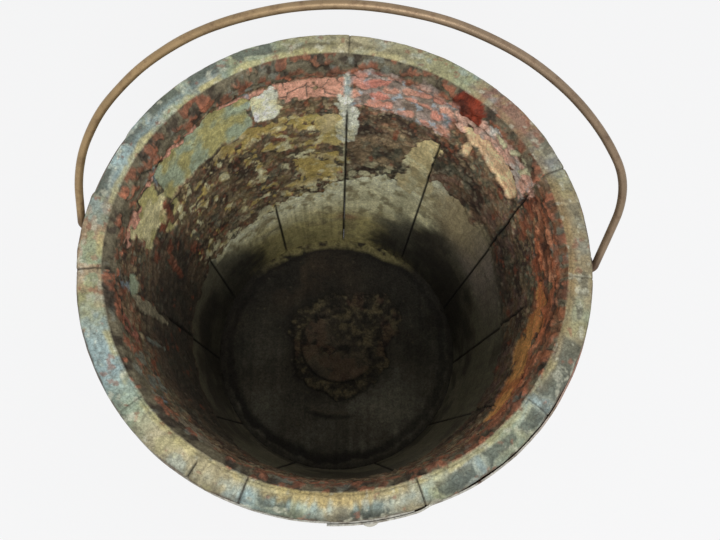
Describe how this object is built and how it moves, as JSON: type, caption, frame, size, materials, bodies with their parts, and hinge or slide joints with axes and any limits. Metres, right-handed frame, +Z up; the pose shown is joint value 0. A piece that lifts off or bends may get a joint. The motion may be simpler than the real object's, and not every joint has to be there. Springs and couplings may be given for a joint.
{
  "type": "wooden stave bucket",
  "caption": "Tapered coopered bucket of wooden staves with riveted iron hoops, nailed ears and a swinging wire bail, thickly caked inside with old dried paint.",
  "frame": {"origin": "on the floor, under the middle of the bucket", "axes": "+Z up the bucket; the bail turns about a line along X, and the hoop's lap is at the front, towards -Y"},
  "size_m": [0.3074, 0.2925, 0.3921],
  "materials": {
    "painted_stave": "weathered wood under worn, crackled layers of old paint",
    "paint_caked_board": "dark stained board with dried paint",
    "painted_hoop_iron": "thin iron strip, old grey paint, rust at its edges",
    "ear_iron": "dark iron, paint worn off, rust",
    "rusty_fastener": "hammered iron, rust and paint",
    "bail_wire": "bare drawn wire, browned, satin"
  },
  "bodies": {
    "bucket": {"stave_01": "painted_stave", "stave_02": "painted_stave", "stave_03": "painted_stave", "stave_04": "painted_stave", "stave_05": "painted_stave", "stave_06": "painted_stave", "stave_07": "painted_stave", "stave_08": "painted_stave", "stave_09": "painted_stave", "stave_10": "painted_stave", "stave_11": "painted_stave", "bottom_board": "paint_caked_board", "top_hoop": "painted_hoop_iron", "bottom_hoop": "painted_hoop_iron", "top_hoop_rivet": "rusty_fastener", "bottom_hoop_rivet": "rusty_fastener", "left_ear": "ear_iron", "right_ear": "ear_iron", "left_ear_nails": "rusty_fastener", "right_ear_nails": "rusty_fastener"},
    "bail": {"bail": "bail_wire"}
  },
  "joints": [
    {"name": "bail_swing", "type": "hinge", "parent": "bucket", "child": "bail", "pos_m": [0, 0.0065, 0.266], "axis": [1, 0, 0], "range_deg": [-76, 99]}
  ]
}
